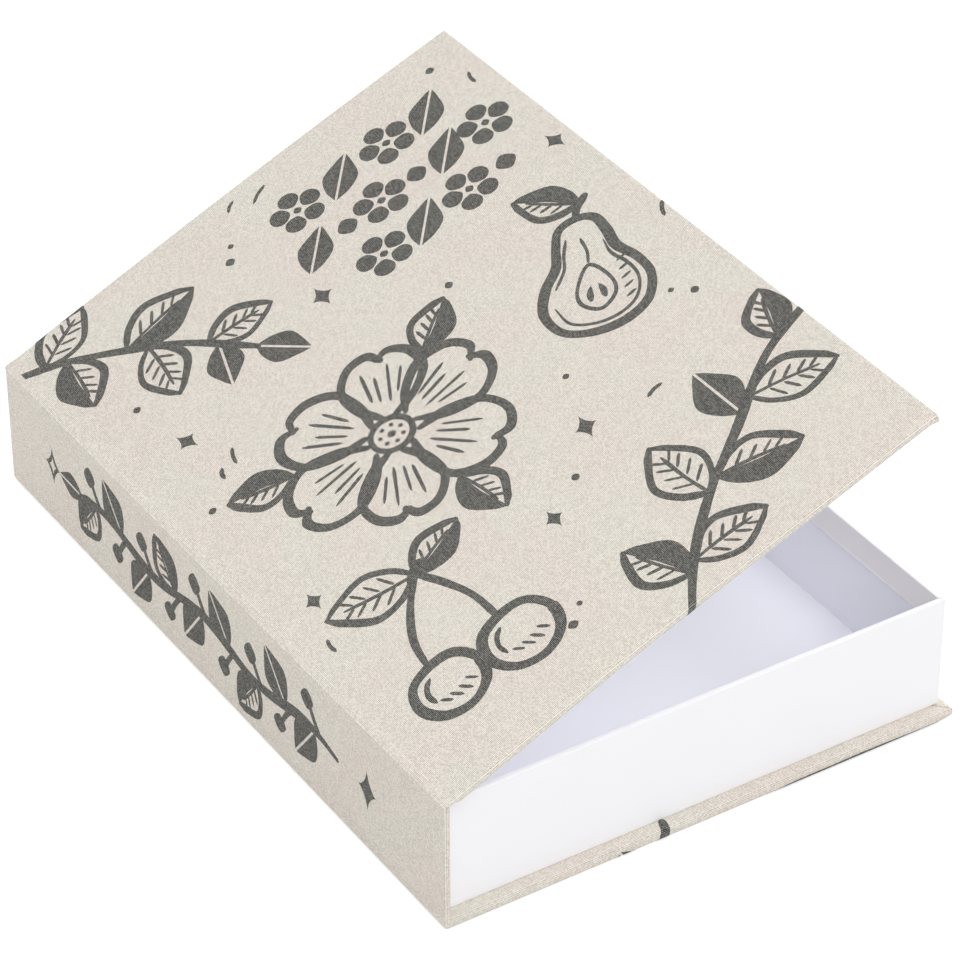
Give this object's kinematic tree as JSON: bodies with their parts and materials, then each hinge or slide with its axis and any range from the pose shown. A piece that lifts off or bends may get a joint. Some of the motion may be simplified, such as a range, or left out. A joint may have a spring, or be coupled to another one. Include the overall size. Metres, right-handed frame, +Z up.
{
  "type": "book storage box",
  "caption": "Book-shaped storage box: a cloth-covered board case with a printed lid that folds back on a cloth joint, and a white paper-covered tray glued inside.",
  "frame": {"origin": "middle of the box's footprint, on the underside of the back cover", "axes": "+X from the spine to the fore-edge, +Y from the tail to the head, +Z up out of the tray"},
  "size_m": [0.1842, 0.27, 0.1179],
  "materials": {
    "cloth": "woven beige book cloth, matte",
    "print_ink": "charcoal ink printed on the cloth, matte",
    "greyboard": "solid grey board, matte",
    "tray_paper": "smooth white paper, satin",
    "lining_paper": "uncoated white paper, matte",
    "stay_tape": "gummed paper tape, matte"
  },
  "bodies": {
    "base": {"back_cloth": "cloth", "back_board": "greyboard", "spine_cloth": "cloth", "spine_board": "greyboard", "tray_board": "greyboard", "tray_lining": "lining_paper", "tray_wrap": "tray_paper", "corner_stay_tail_spine": "stay_tape", "corner_stay_tail_fore": "stay_tape", "corner_stay_head_spine": "stay_tape", "corner_stay_head_fore": "stay_tape"},
    "joint_strip": {"joint_cloth": "cloth", "joint_lining": "lining_paper"},
    "lid": {"lid_cloth": "cloth", "lid_board": "greyboard", "lid_lining": "lining_paper"}
  },
  "joints": [
    {"name": "spine_fold", "type": "hinge", "parent": "base", "child": "joint_strip", "pos_m": [-0.0919, 0, 0.0445], "axis": [0, -1, 0], "range_deg": [0, 170]},
    {"name": "cover_fold", "type": "hinge", "parent": "joint_strip", "child": "lid", "pos_m": [-0.08787, 0, 0.04625], "axis": [0, -1, 0], "range_deg": [-23.5, 0]}
  ]
}
